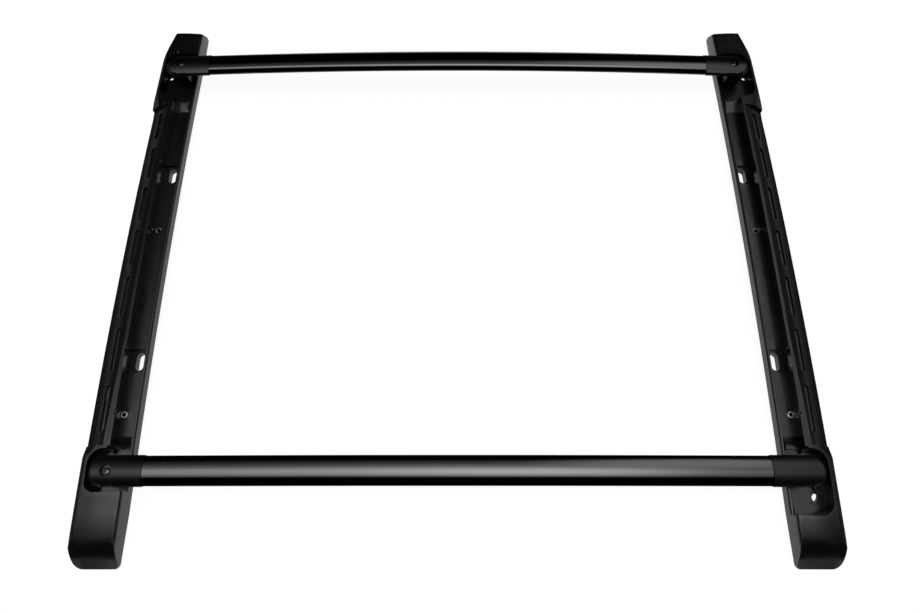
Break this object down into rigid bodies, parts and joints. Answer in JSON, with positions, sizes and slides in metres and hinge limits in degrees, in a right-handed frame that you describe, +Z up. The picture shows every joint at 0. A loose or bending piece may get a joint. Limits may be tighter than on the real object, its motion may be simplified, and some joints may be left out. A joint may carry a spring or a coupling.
{
  "type": "roof rack with side rails and crossbars",
  "caption": "Roof rack of two arched moulded side rails with a trough and recessed bands, bridged by two arched aerofoil crossbars on screwed feet.",
  "frame": {"origin": "middle of the footprint, on the plane that the ends of the rails rest on", "axes": "+X along the crossbars towards the right rail, +Y along the rails from the nose ends to the tail ends, +Z up"},
  "size_m": [1.111, 0.962, 0.0735],
  "materials": {
    "rail_plastic": "fine grained satin black moulding",
    "seal_rubber": "matt black rubber",
    "bar_paint": "satin black coating on aluminium",
    "foot_plastic": "satin black moulding",
    "screw_steel": "bright zinc plate",
    "insert_brass": "turned",
    "sleeve_steel": "turned"
  },
  "bodies": {
    "root": {"rail_left": "rail_plastic", "rail_right": "rail_plastic", "seal_left": "seal_rubber", "seal_right": "seal_rubber", "crossbar_front": "bar_paint", "crossbar_rear": "bar_paint", "foot_front_left": "foot_plastic", "foot_front_right": "foot_plastic", "foot_rear_left": "foot_plastic", "foot_rear_right": "foot_plastic", "screw_front_left": "screw_steel", "screw_front_right": "screw_steel", "screw_rear_left": "screw_steel", "screw_rear_right": "screw_steel", "insert_front_left": "insert_brass", "insert_front_right": "insert_brass", "insert_rear_left": "insert_brass", "insert_rear_right": "insert_brass", "front_sleeve_left": "sleeve_steel", "front_sleeve_right": "sleeve_steel", "mid_sleeve_left": "sleeve_steel", "mid_sleeve_right": "sleeve_steel", "band_screws_left": "screw_steel", "band_screws_right": "screw_steel"}
  },
  "joints": []
}
